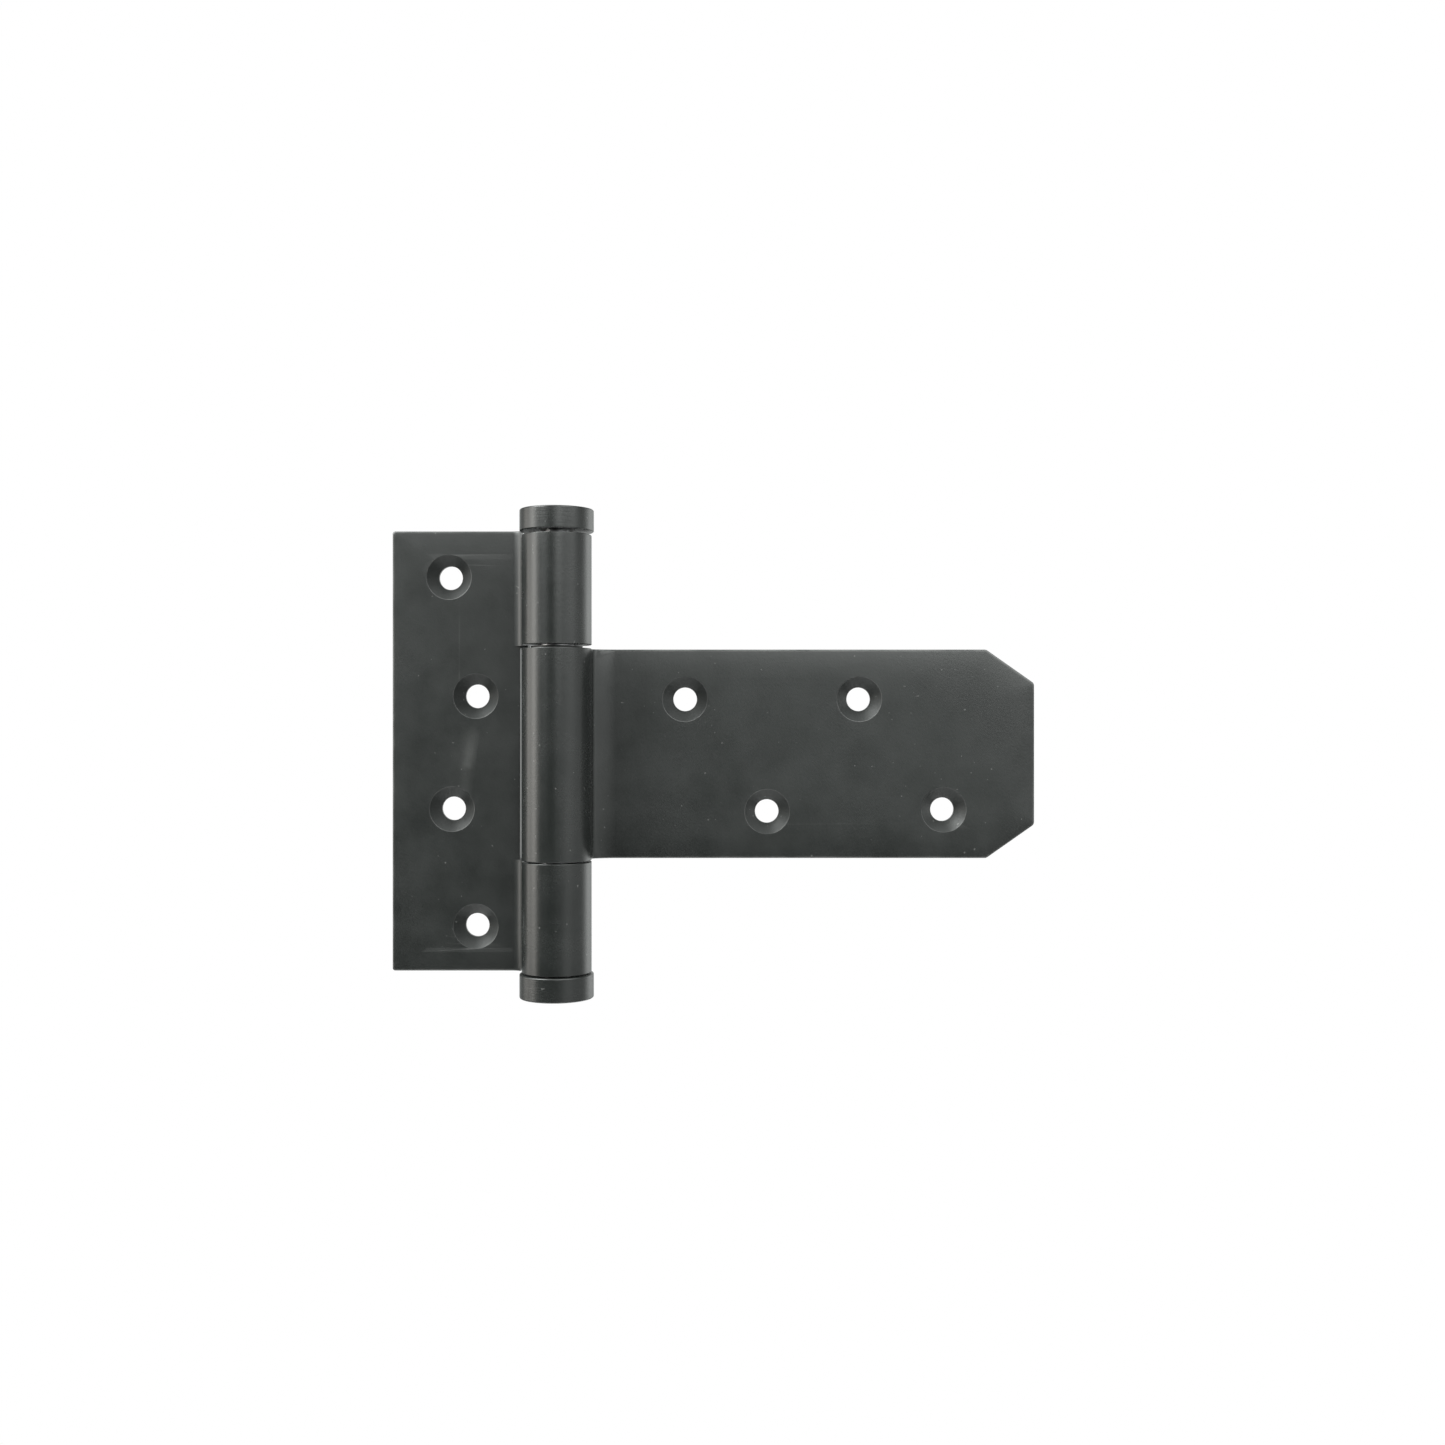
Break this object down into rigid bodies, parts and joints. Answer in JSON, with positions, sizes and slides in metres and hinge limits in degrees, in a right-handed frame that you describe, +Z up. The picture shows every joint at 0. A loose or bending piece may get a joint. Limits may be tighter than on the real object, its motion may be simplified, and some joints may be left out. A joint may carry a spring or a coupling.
{
  "type": "t hinge",
  "caption": "Surface-mounted T hinge: a rectangular frame leaf and a long strap with clipped corners turn on a round capped pin barrel; both leaves are countersunk for screws.",
  "frame": {"origin": "on the back of the frame leaf, at its mid-height, 22 mm across from the pin's axis: where the hinge meets its post or jamb", "axes": "+Z up along the pin, +X from the frame leaf along the strap, +Y out of the leaves' backs into what the hinge is screwed to; the fronts face -Y. The hinge is stored open flat."},
  "size_m": [0.1484, 0.0169, 0.1111],
  "materials": {
    "black_finish": "satin near-black plated finish with a faint metallic sheen",
    "pin_steel": "ground",
    "bush_bronze": "sintered, oil-filled",
    "washer_nylon": "moulded"
  },
  "bodies": {
    "frame": {"frame_leaf": "black_finish"},
    "strap": {"strap_leaf": "black_finish", "upper_bush": "bush_bronze", "lower_bush": "bush_bronze", "upper_washer": "washer_nylon", "lower_washer": "washer_nylon"},
    "pin": {"hinge_pin": "pin_steel", "top_cap": "black_finish", "bottom_cap": "black_finish"}
  },
  "joints": [
    {"name": "strap_swing", "type": "hinge", "parent": "frame", "child": "strap", "pos_m": [0.022, -0.00844, 0], "axis": [0, 0, -1], "range_deg": [-90, 190]},
    {"name": "pin_turn", "type": "hinge", "parent": "frame", "child": "pin", "pos_m": [0.022, -0.00844, 0], "axis": [0, 0, 1], "continuous": true}
  ]
}
